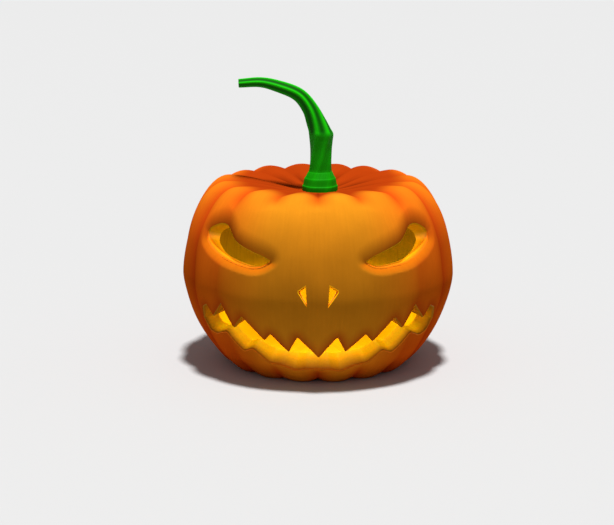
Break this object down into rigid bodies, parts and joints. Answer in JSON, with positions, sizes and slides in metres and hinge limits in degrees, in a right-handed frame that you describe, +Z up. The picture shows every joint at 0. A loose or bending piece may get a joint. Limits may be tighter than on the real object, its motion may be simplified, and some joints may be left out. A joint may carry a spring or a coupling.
{
  "type": "carved pumpkin lantern",
  "caption": "Hollowed, ribbed pumpkin with slanted eyes, nostrils and a toothed grin cut through its thick wall, and a crooked ridged stem; a lantern to light from inside.",
  "frame": {"origin": "on the floor under the middle of the pumpkin, where its upright axis meets the plane it stands on", "axes": "+Z up from the blossom end to the stem; the carved face looks along -Y; +X is to the right of someone who looks at the face"},
  "size_m": [0.2764, 0.2817, 0.2934],
  "materials": {
    "shell": "satin",
    "stem": "satin"
  },
  "bodies": {
    "root": {"shell": "shell", "stem": "stem"}
  },
  "joints": []
}
